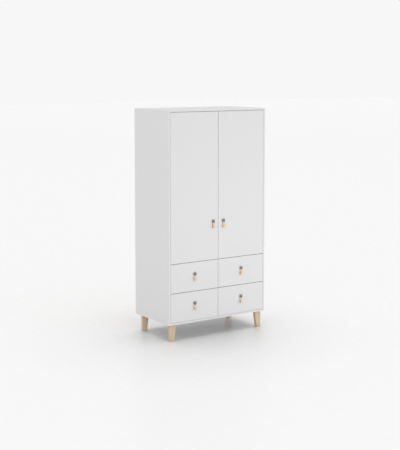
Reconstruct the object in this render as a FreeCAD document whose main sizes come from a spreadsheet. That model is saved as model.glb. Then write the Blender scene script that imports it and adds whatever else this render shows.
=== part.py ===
import FreeCAD, Part
import Sketcher
import math
import os
import re
from FreeCAD import Placement, Rotation, Vector

# White wardrobe: two tall inset doors over four inset drawers, on four tapered wooden legs.
# Millimetres, +Z up, front towards -Y, origin on the floor under the middle of the whole size.
# The left half is drawn and the right half is its mirror image in the plane X = 0.

doc = FreeCAD.newDocument("Wardrobe")
sheet = doc.addObject("Spreadsheet::Sheet", "Sizes")

sizes = {
    # whole body
    "body_width": 1000,
    "body_height": 1800,
    "body_depth": 545,
    "board": 16,
    "edge_round": 0.8,
    # fronts, all flush with the front edges of the body
    "side_gap": 2,
    "bottom_gap": 2,
    "front_gap": 4,
    "top_gap": 3,
    "middle_gap": 3.5,
    "drawer_front_height": 246,
    "front_clearance": 2.5,
    # legs
    "leg_height": 145,
    "leg_top_width": 62,
    "leg_foot_width": 41,
    "leg_thickness": 31,
    "leg_side_inset": 23.5,
    "leg_front_inset": 20,
    "leg_back_inset": 54,
    "leg_round": 2,
    "leg_bolt_radius": 3,
    "leg_bolt_head_radius": 6.5,
    "leg_bolt_head": 3,
    "leg_bolt_depth": 42,
    "leg_bolt_edge": 15,
    # back of two thin leaves in a rebate, with a joining strip between them
    "back_thickness": 3,
    "back_recess": 1,
    "rebate_width": 8,
    "leaf_clearance": 0.4,
    "strip_web": 2,
    "strip_width": 24,
    "strip_wall": 0.8,
    "leaf_hole_play": 1.25,
    # hat shelf, its pins and the clothes rail
    "hat_shelf_drop": 255,
    "hat_shelf_setback": 42,
    "hat_shelf_play": 0.6,
    "pin_radius": 2.5,
    "pin_depth": 9,
    "pin_reach": 8,
    "pin_edge": 70,
    "pin_pitch": 32,
    "rail_radius": 12.5,
    "rail_wall": 1.2,
    "rail_drop": 62,
    "socket_plate_radius": 20,
    "socket_plate": 3,
    "socket_radius": 15,
    "socket_length": 15,
    # cam fittings
    "cam_radius": 7.4,
    "cam_height": 12,
    "cam_setback": 24,
    "cam_bolt_radius": 3,
    "cam_bolt_depth": 11,
    "cam_edge": 110,
    # brackets that tie the body to a wall
    "bracket_offset": 200,
    "bracket_width": 25,
    "bracket_leg": 32,
    "bracket_wall": 2,
    "bracket_hole_radius": 2.75,
    "bracket_hole_drop": 19,
    # concealed hinges: tongue, link and nose are arcs nested about the pivot line in the side gap
    "hinge_inset": 100,
    "hinge_height": 14,
    "hinge_clearance": 4.5,
    "arc_play": 0.5,
    "tongue_wall": 1.5,
    "link_wall": 2,
    "nose_wall": 1.6,
    "link_lift": 1.5,
    "nose_lift": 3.5,
    "cup_radius": 17.5,
    "cup_depth": 12,
    "cup_wall": 0.8,
    "cup_edge": 3.5,
    "cup_ear": 26,
    "cup_ear_width": 18,
    "arm_length": 56,
    "arm_width": 8,
    "arm_clearance": 0.2,
    "plate_length": 38,
    "plate_height": 44,
    "plate_wall": 2,
    "screw_head_radius": 4,
    "screw_head": 1.6,
    # drawers
    "drawer_wall": 12,
    "drawer_box_lift": 20,
    "drawer_box_drop": 47,
    "drawer_back_clearance": 75,
    "drawer_floor": 4,
    "drawer_floor_lift": 12,
    "groove_depth": 6,
    # three-part drawer runners
    "member_depth": 4.1,
    "member_gap": 0.35,
    "member_wall": 1.2,
    "runner_setback": 20,
    "runner_back_clearance": 71,
    "runner_lift": 62,
    "outer_member_height": 45,
    "middle_member_height": 43.5,
    "inner_member_height": 42,
    # pulls: a folded strap held by a domed button
    "door_pull_height": 847,
    "door_pull_offset": 53,
    "drawer_pull_lift": 23.5,
    "strap_width": 18,
    "strap_thick": 2.6,
    "strap_head": 10,
    "strap_drop": 59,
    "leaf_gap": 0.6,
    "loop_depth": 21,
    "button_radius": 15,
    "button_rim": 1.8,
    "button_dome": 4,
    "stem_radius": 2.5,
    "nut_radius": 5,
    "nut_height": 2.5,
    # clearances
    "bore_clearance": 0.1,
}
for row, (alias, number) in enumerate(sizes.items(), 1):
    sheet.set(f"A{row}", alias.replace("_", " "))
    sheet.set(f"B{row}", str(number))
    sheet.setAlias(f"B{row}", alias)
doc.recompute()

alias_word = re.compile(r"\b(" + "|".join(sizes) + r")\b")
turned = {
    "x": Rotation(Vector(0, 1, 0), 90),
    "y": Rotation(Vector(1, 0, 0), -90),
    "z": Rotation(),
}
axes = "xyz"
sub_parts = {}

# Places worked out from the sizes, as expression text.
front = "((loop_depth - body_depth) / 2)"
back = f"({front} + body_depth)"
base = "leg_height"
roof = "(leg_height + body_height)"
half = "(body_width / 2)"
inside = "(body_width / 2 - board)"
under_top = f"({roof} - board)"
behind_fronts = f"({front} + board + front_clearance)"
leaf_front = f"({back} - back_thickness - back_recess)"
first_front = f"({base} + board + bottom_gap)"
front_pitch = "(drawer_front_height + front_gap)"
door_low = f"({first_front} + 2 * {front_pitch})"
door_high = f"({under_top} - top_gap)"
shelf_low = f"({door_low} - front_gap / 2 - board / 2)"
shelf_high = f"({shelf_low} + board)"
hat_shelf_low = f"({under_top} - hat_shelf_drop - board)"
pivot_x = f"(side_gap / 2 - {inside})"
front_centre = f"(-({inside} - side_gap + middle_gap / 2) / 2)"


def bound(text):
    """Expression text with the sheet's name put before each of its aliases."""
    return alias_word.sub(r"Sizes.\1", text)


def value(text):
    """Number that an expression gives with the sheet as it stands."""
    return float(sheet.evalExpression(bound(text)))


def bind(item, **expressions):
    for prop, text in expressions.items():
        item.setExpression(prop, bound(text))
    return item


def place(item, x, y, z, turn=Rotation()):
    item.Placement = Placement(Vector(), turn)
    for axis, text in zip(axes, (x, y, z)):
        item.setExpression(f"Placement.Base.{axis}", bound(text))
    return item


def finish(item, label):
    """Give a finished sub-part the name of its file."""
    item.Label = label
    sub_parts[label] = item
    return item


def block(name, x, y, z):
    """Box between pairs of low and high coordinates."""
    item = doc.addObject("Part::Box", name)
    for size, (low, high) in zip(("Length", "Width", "Height"), (x, y, z)):
        bind(item, **{size: f"{high} - ({low})"})
    return place(item, x[0], y[0], z[0])


def rod(name, axis, radius, length, x, y, z):
    """Cylinder that starts at a point and runs along +X, +Y or +Z."""
    item = doc.addObject("Part::Cylinder", name)
    bind(item, Radius=radius, Height=length)
    return place(item, x, y, z, turned[axis])


def compound(name, items):
    item = doc.addObject("Part::Compound", name)
    item.Links = items
    return item


def fuse(name, items):
    item = doc.addObject("Part::MultiFuse", name)
    item.Shapes = items
    item.Refine = True
    return item


def cut(name, stock, tools):
    item = doc.addObject("Part::Cut", name)
    item.Base = stock
    item.Tool = tools[0] if len(tools) == 1 else compound(name + "_tools", tools)
    return item


def mirror(name, source):
    item = doc.addObject("Part::Mirroring", name)
    item.Source = source
    item.Normal = Vector(1, 0, 0)
    item.Base = Vector(0, 0, 0)
    return item


def both_sides(label, items):
    """One sub-part of separate solids: the left half's and their mirror images."""
    left = compound(label + "_half", items)
    return finish(compound(label, [left, mirror(label + "_mirror", left)]), label)


def eased(name, stock, wanted, radius="edge_round"):
    """Round the stock's edges that the test picks out."""
    doc.recompute()
    item = doc.addObject("Part::Fillet", name)
    item.Base = stock
    size = value(radius)
    edges = enumerate(stock.Shape.Edges, 1)
    item.Edges = [(number, size, size) for number, edge in edges if wanted(edge)]
    return item


def runs_round(axis, *levels):
    """Test for straight edges that lie in the planes at the given levels along an axis."""
    index = axes.index(axis)
    heights = [value(level) for level in levels]

    def wanted(edge):
        ends = [vertex.Point[index] for vertex in edge.Vertexes]
        return any(max(abs(end - height) for end in ends) < 0.01 for height in heights)

    return wanted


def on_plane(body, role):
    """New sketch on one of a body's own origin planes."""
    sketch = body.newObject("Sketcher::SketchObject", f"{body.Name}_{role}")
    plane = [item for item in body.Origin.OriginFeatures if item.Role == role][0]
    sketch.AttachmentSupport = [(plane, "")]
    sketch.MapMode = "FlatFace"
    return sketch


def fix_point(sketch, name, geometry, point, across, up):
    """Hold a sketch point at a place given by two expressions."""
    for kind, letter, text in (("DistanceX", "x", across), ("DistanceY", "y", up)):
        if text is None:
            continue
        rule = Sketcher.Constraint(kind, -1, 1, geometry, point, value(text))
        sketch.addConstraint(rule)
        sketch.renameConstraint(sketch.ConstraintCount - 1, f"{name}_{letter}")
        sketch.setExpression(f"Constraints.{name}_{letter}", bound(text))


def outline(sketch, corners):
    """Closed outline of straight lines through corners given as pairs of expressions."""
    points = [Vector(value(across), value(up), 0) for across, up in corners]
    count = len(points)
    for index in range(count):
        sketch.addGeometry(Part.LineSegment(points[index], points[(index + 1) % count]), False)
    for index, (across, up) in enumerate(corners):
        sketch.addConstraint(Sketcher.Constraint("Coincident", (index - 1) % count, 2, index, 1))
        fix_point(sketch, f"corner{index}", index, 1, across, up)


def pad(body, sketch, length):
    """Pad a sketch equally to both sides of its plane."""
    item = body.newObject("PartDesign::Pad", sketch.Name + "_pad")
    item.Profile = sketch
    item.Midplane = True
    bind(item, Length=length)
    return item


def new_body(name):
    return doc.addObject("PartDesign::Body", name)


def make_fitting(name, x, y, z, bolt_axis, bolt_sign, cam_axis):
    """Cam in one board with its bolt in the next. Gives the fitting and what is drilled for it."""
    def parts(prefix, spare):
        start = {"x": x, "y": y, "z": z}
        centre = dict(start)
        cam_height = f"(cam_height + {spare})"
        if bolt_sign > 0:
            start[bolt_axis] += f" - cam_bolt_depth - {spare}"
            centre[bolt_axis] += " + cam_setback"
            centre[cam_axis] += " - board / 2"
        else:
            start[bolt_axis] += " - cam_setback"
            centre[bolt_axis] += " - cam_setback"
            centre[cam_axis] += f" + board / 2 - {cam_height}"
        bolt_length = f"cam_setback + cam_bolt_depth + {spare}"
        bolt = rod(prefix + "_bolt", bolt_axis, f"cam_bolt_radius + {spare}", bolt_length, *start.values())
        cam = rod(prefix + "_cam", cam_axis, f"cam_radius + {spare}", cam_height, *centre.values())
        return [bolt, cam]

    solid = fuse(name, parts(name, "0"))
    return solid, parts(name + "_bore", "bore_clearance")


def make_carcass():
    """Sides, top, bottom, middle shelf and partition with the fittings that join them."""
    fittings = []
    side_bores = []
    bottom_bores = []
    shelf_bores = []
    levels = (
        ("bottom", f"{base} + board / 2", bottom_bores),
        ("shelf", f"{shelf_low} + board / 2", shelf_bores),
    )
    for level_name, level, bores in levels:
        for end, y in (("front", f"{front} + cam_edge"), ("back", f"{leaf_front} - cam_edge")):
            name = f"fitting_{level_name}_{end}"
            solid, drilled = make_fitting(name, f"-{inside}", y, level, "x", 1, "z")
            fittings.append(solid)
            side_bores.append(drilled[0])
            bores.extend(drilled)
    top_bores = []
    for end, y in (("front", f"{front} + cam_edge"), ("back", f"{leaf_front} - cam_edge")):
        name = f"fitting_top_{end}"
        solid, drilled = make_fitting(name, f"-{inside} - board / 2", y, under_top, "z", -1, "x")
        fittings.append(solid)
        side_bores.extend(drilled)
        top_bores.append(drilled[0])
    both_sides("cam_fittings", fittings)

    pin_bores = []
    for row, y in (("front", pin_y[0]), ("back", pin_y[1])):
        for step in range(-2, 3):
            height = f"{pin_z} + {step} * pin_pitch"
            pin_bores.append(rod(f"pin_bore_{row}_{step + 2}", "x", "pin_radius + bore_clearance",
                                 "pin_depth + bore_clearance",
                                 f"-{inside} - pin_depth - bore_clearance", y, height))

    side = block("side_board", (f"-{half}", f"-{inside}"), (front, back), (base, under_top))
    side = eased("side_eased", side, runs_round("y", front, back))
    rebate = block("side_rebate", (f"-{inside} - rebate_width", f"-{inside} + board"),
                   (leaf_front, f"{back} + board"), (f"{base} - board", f"{under_top} + board"))
    side = cut("side_panel", side, [rebate] + side_bores + pin_bores)
    finish(side, "side_panel_left")
    finish(mirror("side_panel_mirror", side), "side_panel_right")

    top = block("top_board", (f"-{half}", half), (front, back), (under_top, roof))
    top = eased("top_eased", top, runs_round("z", under_top, roof))
    rebate = block("top_rebate", (f"-{inside} - rebate_width", f"{inside} + rebate_width"),
                   (leaf_front, f"{back} + board"), (f"{under_top} - board", f"{under_top} + rebate_width"))
    bores = compound("top_bores", top_bores)
    top = cut("top_panel", top, [rebate, bores, mirror("top_bores_mirror", bores)])
    finish(top, "top_panel")

    bottom = block("bottom_board", (f"-{inside}", inside), (front, leaf_front), (base, f"{base} + board"))
    bottom = eased("bottom_eased", bottom, runs_round("y", front))
    bores = compound("bottom_bores", bottom_bores + make_leg_bolt_bores())
    bottom = cut("bottom_panel", bottom, [bores, mirror("bottom_bores_mirror", bores)])
    finish(bottom, "bottom_panel")

    shelf = block("middle_board", (f"-{inside}", inside), (behind_fronts, leaf_front),
                  (shelf_low, shelf_high))
    shelf = eased("middle_eased", shelf, runs_round("y", behind_fronts))
    bores = compound("shelf_bores", shelf_bores)
    shelf = cut("middle_shelf", shelf, [bores, mirror("shelf_bores_mirror", bores)])
    finish(shelf, "middle_shelf")

    partition = block("partition_board", ("-board / 2", "board / 2"), (behind_fronts, leaf_front),
                      (f"{base} + board", shelf_low))
    partition = eased("partition_eased", partition, runs_round("y", behind_fronts))
    finish(partition, "drawer_partition")


def make_back():
    """Two thin leaves in the rebate and the H-shaped strip that joins them."""
    leaf = block("leaf_board",
                 (f"-{inside} - rebate_width + leaf_clearance", "-(strip_web + leaf_clearance) / 2"),
                 (leaf_front, f"{leaf_front} + back_thickness"),
                 (f"{base} + leaf_clearance", f"{under_top} + rebate_width - leaf_clearance"))
    hole = rod("leaf_hole", "y", "bracket_hole_radius + leaf_hole_play", "3 * back_thickness",
               "-bracket_offset", f"{leaf_front} - back_thickness", f"{under_top} - bracket_hole_drop")
    leaf = cut("back_leaf", leaf, [hole])
    finish(leaf, "back_panel_left")
    finish(mirror("back_leaf_mirror", leaf), "back_panel_right")

    height = (f"{shelf_high} + leaf_clearance", f"{under_top} - leaf_clearance")
    flange = ("-strip_width / 2", "strip_width / 2")
    rear = f"{leaf_front} + back_thickness"
    inner = block("strip_front", flange, (f"{leaf_front} - strip_wall", leaf_front), height)
    web = block("strip_middle", ("-strip_web / 2", "strip_web / 2"), (leaf_front, rear), height)
    outer = block("strip_rear", flange, (rear, f"{rear} + strip_wall"), height)
    finish(fuse("strip", [inner, web, outer]), "back_joining_strip")


def make_inside():
    """Hat shelf on its pins, and the clothes rail in its two sockets."""
    shelf = block("hat_board", (f"-{inside} + hat_shelf_play", f"{inside} - hat_shelf_play"),
                  (f"{front} + hat_shelf_setback", f"{leaf_front} - hat_shelf_play - strip_wall"),
                  (hat_shelf_low, f"{hat_shelf_low} + board"))
    finish(eased("hat_shelf", shelf, runs_round("y", f"{front} + hat_shelf_setback")), "hat_shelf")

    pins = []
    for row, y in (("front", pin_y[0]), ("back", pin_y[1])):
        pins.append(rod(f"pin_{row}", "x", "pin_radius", "pin_depth + pin_reach",
                        f"-{inside} - pin_depth", y, pin_z))
    both_sides("shelf_pins", pins)

    rail_y = f"({front} + {leaf_front}) / 2"
    rail_z = f"{hat_shelf_low} - rail_drop"
    rail_end = f"({inside} - socket_plate - bore_clearance)"
    tube = rod("rail_tube", "x", "rail_radius", f"2 * {rail_end}", f"-{rail_end}", rail_y, rail_z)
    bore = rod("rail_bore", "x", "rail_radius - rail_wall", f"2 * {half}", f"-{half}", rail_y, rail_z)
    finish(cut("rail", tube, [bore]), "clothes_rail")

    plate = rod("socket_disc", "x", "socket_plate_radius", "socket_plate", f"-{inside}", rail_y, rail_z)
    ring = rod("socket_ring", "x", "socket_radius", "socket_length", f"-{inside}", rail_y, rail_z)
    seat = rod("socket_seat", "x", "rail_radius + bore_clearance", "socket_length",
               f"-{inside} + socket_plate", rail_y, rail_z)
    both_sides("rail_sockets", [cut("socket", fuse("socket_body", [plate, ring]), [seat])])


def leg_bolt_places():
    """Name and place of the two bolts of each left leg."""
    for end, leg_y in leg_places:
        for side, x in (("outer", f"-{half} + leg_side_inset + leg_bolt_edge"),
                        ("inner", f"-{half} + leg_side_inset + leg_top_width - leg_bolt_edge")):
            yield f"{end}_{side}", x, f"{leg_y} + leg_thickness / 2"


def make_leg_bolt(name, x, y, spare):
    """Bolt that goes down through the bottom panel into a leg, its head let into the panel."""
    top = f"({base} + board)"
    length = f"board + leg_bolt_depth + {spare}"
    shank = rod(name + "_shank", "z", f"leg_bolt_radius + {spare}", length, x, y, f"{top} - ({length})")
    head = rod(name + "_head", "z", f"leg_bolt_head_radius + {spare}", f"leg_bolt_head + {spare}",
               x, y, f"{top} - leg_bolt_head - {spare}")
    return shank, head


def make_leg_bolt_bores():
    bores = []
    for name, x, y in leg_bolt_places():
        bores.extend(make_leg_bolt("bolt_bore_" + name, x, y, "bore_clearance"))
    return bores


def make_legs():
    """Legs with one sloping side, which faces the middle, and their bolts."""
    bolts = []
    for name, x, y in leg_bolt_places():
        bolts.append(fuse("bolt_" + name, make_leg_bolt("bolt_" + name, x, y, "0")))
    both_sides("leg_bolts", bolts)

    for end, leg_y in leg_places:
        body = new_body(f"leg_{end}_body")
        sketch = on_plane(body, "XZ_Plane")
        foot = [("0", "0"), ("leg_foot_width", "0")]
        top = [("leg_top_width", "leg_height"), ("0", "leg_height")]
        outline(sketch, foot + top)
        blank = pad(body, sketch, "leg_thickness")
        doc.recompute()
        long_edges = [f"Edge{number}" for number, edge in enumerate(blank.Shape.Edges, 1)
                      if abs(edge.Vertexes[0].Z - edge.Vertexes[-1].Z) > value("leg_height") / 2]
        fillet = body.newObject("PartDesign::Fillet", f"leg_{end}_round")
        fillet.Base = (blank, long_edges)
        bind(fillet, Radius="leg_round")
        place(body, f"-{half} + leg_side_inset", f"{leg_y} + leg_thickness / 2", "0")
        shanks = []
        for name, x, y in leg_bolt_places():
            if name.startswith(end):
                shanks.append(make_leg_bolt(f"leg_bore_{name}", x, y, "bore_clearance")[0])
        leg = cut(f"leg_{end}", body, shanks)
        finish(leg, f"leg_{end}_left")
        finish(mirror(f"leg_{end}_mirror", leg), f"leg_{end}_right")


def make_brackets():
    """Steel angles under the top panel whose upright leg takes the screw into the wall."""
    across = ("-bracket_offset - bracket_width / 2", "-bracket_offset + bracket_width / 2")
    flat = block("bracket_flat", across, (f"{leaf_front} - bracket_leg", leaf_front),
                 (f"{under_top} - bracket_wall", under_top))
    upright = block("bracket_upright", across, (f"{leaf_front} - bracket_wall", leaf_front),
                    (f"{under_top} - bracket_leg", under_top))
    angle = fuse("bracket_angle", [flat, upright])
    hole = rod("bracket_hole", "y", "bracket_hole_radius", "3 * bracket_wall",
               "-bracket_offset", f"{leaf_front} - 2 * bracket_wall", f"{under_top} - bracket_hole_drop")
    both_sides("wall_brackets", [cut("bracket", angle, [hole])])


def arc_plate(name, inner_radius, outer_radius, foot, middle):
    """Curved plate about the pivot line, from its foot in the door's thickness round to the side."""
    start = f"asin({foot} / {outer_radius})"
    sectors = []
    for edge, radius in (("outer", outer_radius), ("inner", inner_radius)):
        sector = rod(f"{name}_{edge}", "z", radius, "hinge_height",
                     pivot_x, front, f"{middle} - hinge_height / 2")
        bind(sector, Angle=f"90 deg - {start}")
        sector.Placement.Rotation = Rotation(Vector(0, 0, 1), value(start))
        sectors.append(sector)
    return cut(name, sectors[0], [sectors[1]])


def make_hinges():
    """Three concealed hinges: arm on the side panel, curved link, and cup in the door."""
    arms = []
    links = []
    cups = []
    bores = []
    door_back = f"({front} + board)"
    cup_x = f"({pivot_x} + side_gap / 2 + cup_edge + cup_radius)"
    tongue_in = "(board + hinge_clearance)"
    tongue_out = f"({tongue_in} + tongue_wall)"
    link_in = f"({tongue_out} + arc_play)"
    link_out = f"({link_in} + link_wall)"
    nose_in = f"({link_out} + arc_play)"
    nose_out = f"({nose_in} + nose_wall)"
    cup_floor = "(board - cup_depth + cup_wall)"
    levels = {
        "low": f"({door_low} + hinge_inset)",
        "mid": f"(({door_low} + {door_high}) / 2)",
        "high": f"({door_high} - hinge_inset)",
    }
    for level, z in levels.items():
        arm_y = f"({front} + {nose_in})"
        plate_y = f"({arm_y} + arm_length - plate_length)"
        arm = block(f"arm_{level}", (f"-{inside} + arm_clearance", f"{pivot_x} + arm_width"),
                    (arm_y, f"{arm_y} + arm_length"), (f"{z} - hinge_height / 2", f"{z} + hinge_height / 2"))
        plate = block(f"plate_{level}", (f"-{inside}", f"-{inside} + plate_wall"),
                      (plate_y, f"{plate_y} + plate_length"),
                      (f"{z} - plate_height / 2", f"{z} + plate_height / 2"))
        ears = block(f"cup_ears_{level}", (f"{cup_x} - cup_ear_width / 2", f"{cup_x} + cup_ear_width / 2"),
                     (door_back, f"{door_back} + cup_wall"), (f"{z} - cup_ear", f"{z} + cup_ear"))
        plate_screws = []
        ear_screws = []
        for end, sign in (("under", "-"), ("over", "+")):
            plate_screws.append(rod(f"plate_screw_{level}_{end}", "x",
                                    "screw_head_radius", "plate_wall + screw_head",
                                    f"-{inside}", f"{plate_y} + plate_length / 2",
                                    f"{z} {sign} (plate_height + hinge_height) / 4"))
            ear_screws.append(rod(f"ear_screw_{level}_{end}", "y",
                                  "screw_head_radius", "cup_wall + screw_head",
                                  cup_x, door_back, f"{z} {sign} (cup_ear + cup_radius) / 2"))
        nose = arc_plate(f"nose_{level}", nose_in, nose_out, f"({cup_floor} + nose_lift)", z)
        arms.append(fuse(f"hinge_arm_{level}", [nose, arm, plate] + plate_screws))
        links.append(arc_plate(f"link_{level}", link_in, link_out, f"({cup_floor} + link_lift)", z))

        shell = rod(f"cup_shell_{level}", "y", "cup_radius", "cup_depth",
                    cup_x, f"{door_back} - cup_depth", z)
        rim = rod(f"cup_rim_{level}", "y", "cup_radius + 2 * cup_wall", "cup_wall", cup_x, door_back, z)
        hollow = rod(f"cup_hollow_{level}", "y", "cup_radius - cup_wall", "2 * cup_depth",
                     cup_x, f"{door_back} - cup_depth + cup_wall", z)
        cup = cut(f"cup_{level}", fuse(f"cup_body_{level}", [shell, rim, ears] + ear_screws), [hollow])
        tongue = arc_plate(f"tongue_{level}", tongue_in, tongue_out, f"({cup_floor} - cup_wall / 2)", z)
        cups.append(fuse(f"hinge_cup_{level}", [cup, tongue]))
        bores.append(rod(f"cup_bore_{level}", "y", "cup_radius + bore_clearance", "2 * cup_depth",
                         cup_x, f"{door_back} - cup_depth - bore_clearance", z))

    both_sides("hinge_arms", arms)
    for label, solids in (("hinge_links", links), ("hinge_cups", cups)):
        group = compound(label, solids)
        finish(group, label + "_left")
        finish(mirror(label + "_mirror", group), label + "_right")
    return bores


def make_strap(name, x, z):
    """Strap folded into a loop that hangs from the button: both ends lie flat under the button."""
    body = new_body(name)
    sketch = on_plane(body, "YZ_Plane")
    thick = value("strap_thick")
    radius = value("loop_depth / 2")
    middle = value("loop_depth / 2 - strap_drop")
    head = value("strap_head")
    neck = -value("button_radius")
    centre = Vector(radius, middle, 0)
    upright = Vector(0, 0, 1)
    lean = math.radians(15)

    def bow(size):
        """Fold of the strap, drawn roughly: the tangent rules below set where it ends."""
        return Part.ArcOfCircle(Part.Circle(centre, upright, size), math.pi, 2 * math.pi + lean)

    def line(x1, y1, x2, y2):
        return Part.LineSegment(Vector(x1, y1, 0), Vector(x2, y2, 0))

    fold = bow(radius)
    inner_fold = bow(radius - thick)
    tip = fold.EndPoint
    inner_tip = inner_fold.EndPoint
    gap = value("leaf_gap")
    sketch.addGeometry([
        line(0, head, 0, middle),
        fold,
        line(tip.x, tip.y, 2 * thick, neck),
        line(2 * thick, neck, 2 * thick, head),
        line(2 * thick, head, 0, head),
        line(thick, neck, thick, middle),
        inner_fold,
        line(inner_tip.x, inner_tip.y, thick + gap, neck),
        line(thick + gap, neck, thick, neck),
    ], False)
    rules = [
        ("Tangent", 0, 2, 1, 1),
        ("Tangent", 1, 2, 2, 1),
        ("Coincident", 2, 2, 3, 1),
        ("Coincident", 3, 2, 4, 1),
        ("Coincident", 4, 2, 0, 1),
        ("Vertical", 0),
        ("Vertical", 3),
        ("Horizontal", 4),
        ("Tangent", 5, 2, 6, 1),
        ("Tangent", 6, 2, 7, 1),
        ("Coincident", 7, 2, 8, 1),
        ("Coincident", 8, 2, 5, 1),
        ("Vertical", 5),
        ("Horizontal", 8),
        ("Coincident", 1, 3, 6, 3),
        ("Parallel", 2, 7),
    ]
    for rule in rules:
        sketch.addConstraint(Sketcher.Constraint(*rule))
    fix_point(sketch, "head", 0, 1, "0", "strap_head")
    fix_point(sketch, "centre", 1, 3, "loop_depth / 2", "loop_depth / 2 - strap_drop")
    fix_point(sketch, "neck", 3, 1, "2 * strap_thick", "-button_radius")
    fix_point(sketch, "inner_back", 5, 2, "strap_thick", None)
    fix_point(sketch, "inner_neck", 8, 1, "strap_thick + leaf_gap", None)
    pad(body, sketch, "strap_width")
    place(body, x, front, z, Rotation(upright, 180))
    bore = rod(name + "_bore", "y", "stem_radius + bore_clearance", "2 * loop_depth",
               x, f"{front} - loop_depth", z)
    return cut(name + "_strap", body, [bore])


def make_button(name, x, z):
    """Domed button with its stem through the strap and the front, and the nut behind."""
    seat = f"({front} - 2 * strap_thick)"
    rim = rod(name + "_rim", "y", "button_radius", "button_rim", x, f"{seat} - button_rim", z)
    rounding = "((button_radius ^ 2 + button_dome ^ 2) / (2 * button_dome))"
    ball = doc.addObject("Part::Sphere", name + "_ball")
    bind(ball, Radius=rounding)
    place(ball, x, f"{seat} - button_rim - button_dome + {rounding}", z)
    keep = rod(name + "_keep", "y", "1.5 * button_radius", "2 * button_dome",
               x, f"{seat} - button_rim - 2 * button_dome", z)
    dome = doc.addObject("Part::Common", name + "_dome")
    dome.Base = ball
    dome.Tool = keep
    stem = rod(name + "_stem", "y", "stem_radius", "2 * strap_thick + board", x, seat, z)
    nut = rod(name + "_nut", "y", "nut_radius", "nut_height", x, f"{front} + board", z)
    return fuse(name + "_button", [rim, dome, stem, nut])


def make_pull(owner, x, z):
    """Strap and button of one front, and of its mirror image. Gives the hole for the stem."""
    for kind, item in (("pull_strap", make_strap(f"strap_{owner}", x, z)),
                       ("pull_button", make_button(f"button_{owner}", x, z))):
        finish(item, f"{kind}_{owner}_left")
        finish(mirror(f"{kind}_{owner}_mirror", item), f"{kind}_{owner}_right")
    return rod(f"stem_bore_{owner}", "y", "stem_radius + bore_clearance", "2 * board",
               x, f"{front} - board / 2", z)


def make_doors(cup_bores):
    stock = block("door_board", (f"{pivot_x} + side_gap / 2", "-middle_gap / 2"),
                  (front, f"{front} + board"), (door_low, door_high))
    stock = eased("door_eased", stock, runs_round("y", front, f"{front} + board"))
    stem_bore = make_pull("door", "-door_pull_offset", f"{base} + door_pull_height")
    door = cut("door", stock, cup_bores + [stem_bore])
    finish(door, "door_left")
    finish(mirror("door_mirror", door), "door_right")


def make_channel(name, wall, sign, place_in_runner, height, y, middle):
    """Thin channel beside a wall: place_in_runner counts the members from the wall outwards."""
    near = f"({place_in_runner} * (member_depth + member_gap))"
    far = f"({near} + member_depth)"
    hollow_from = f"({near} + member_wall)"
    lips = f"({height} / 2 - member_wall)"

    def span(low, high):
        if sign > 0:
            return (f"{wall} + {low}", f"{wall} + {high}")
        return (f"{wall} - {high}", f"{wall} - {low}")

    body = block(name + "_bar", span(near, far), y, (f"{middle} - {height} / 2", f"{middle} + {height} / 2"))
    hollow = block(name + "_hollow", span(hollow_from, f"({far} + member_wall)"),
                   (f"{y[0]} - board", f"{y[1]} + board"), (f"{middle} - {lips}", f"{middle} + {lips}"))
    return cut(name, body, [hollow])


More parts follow.
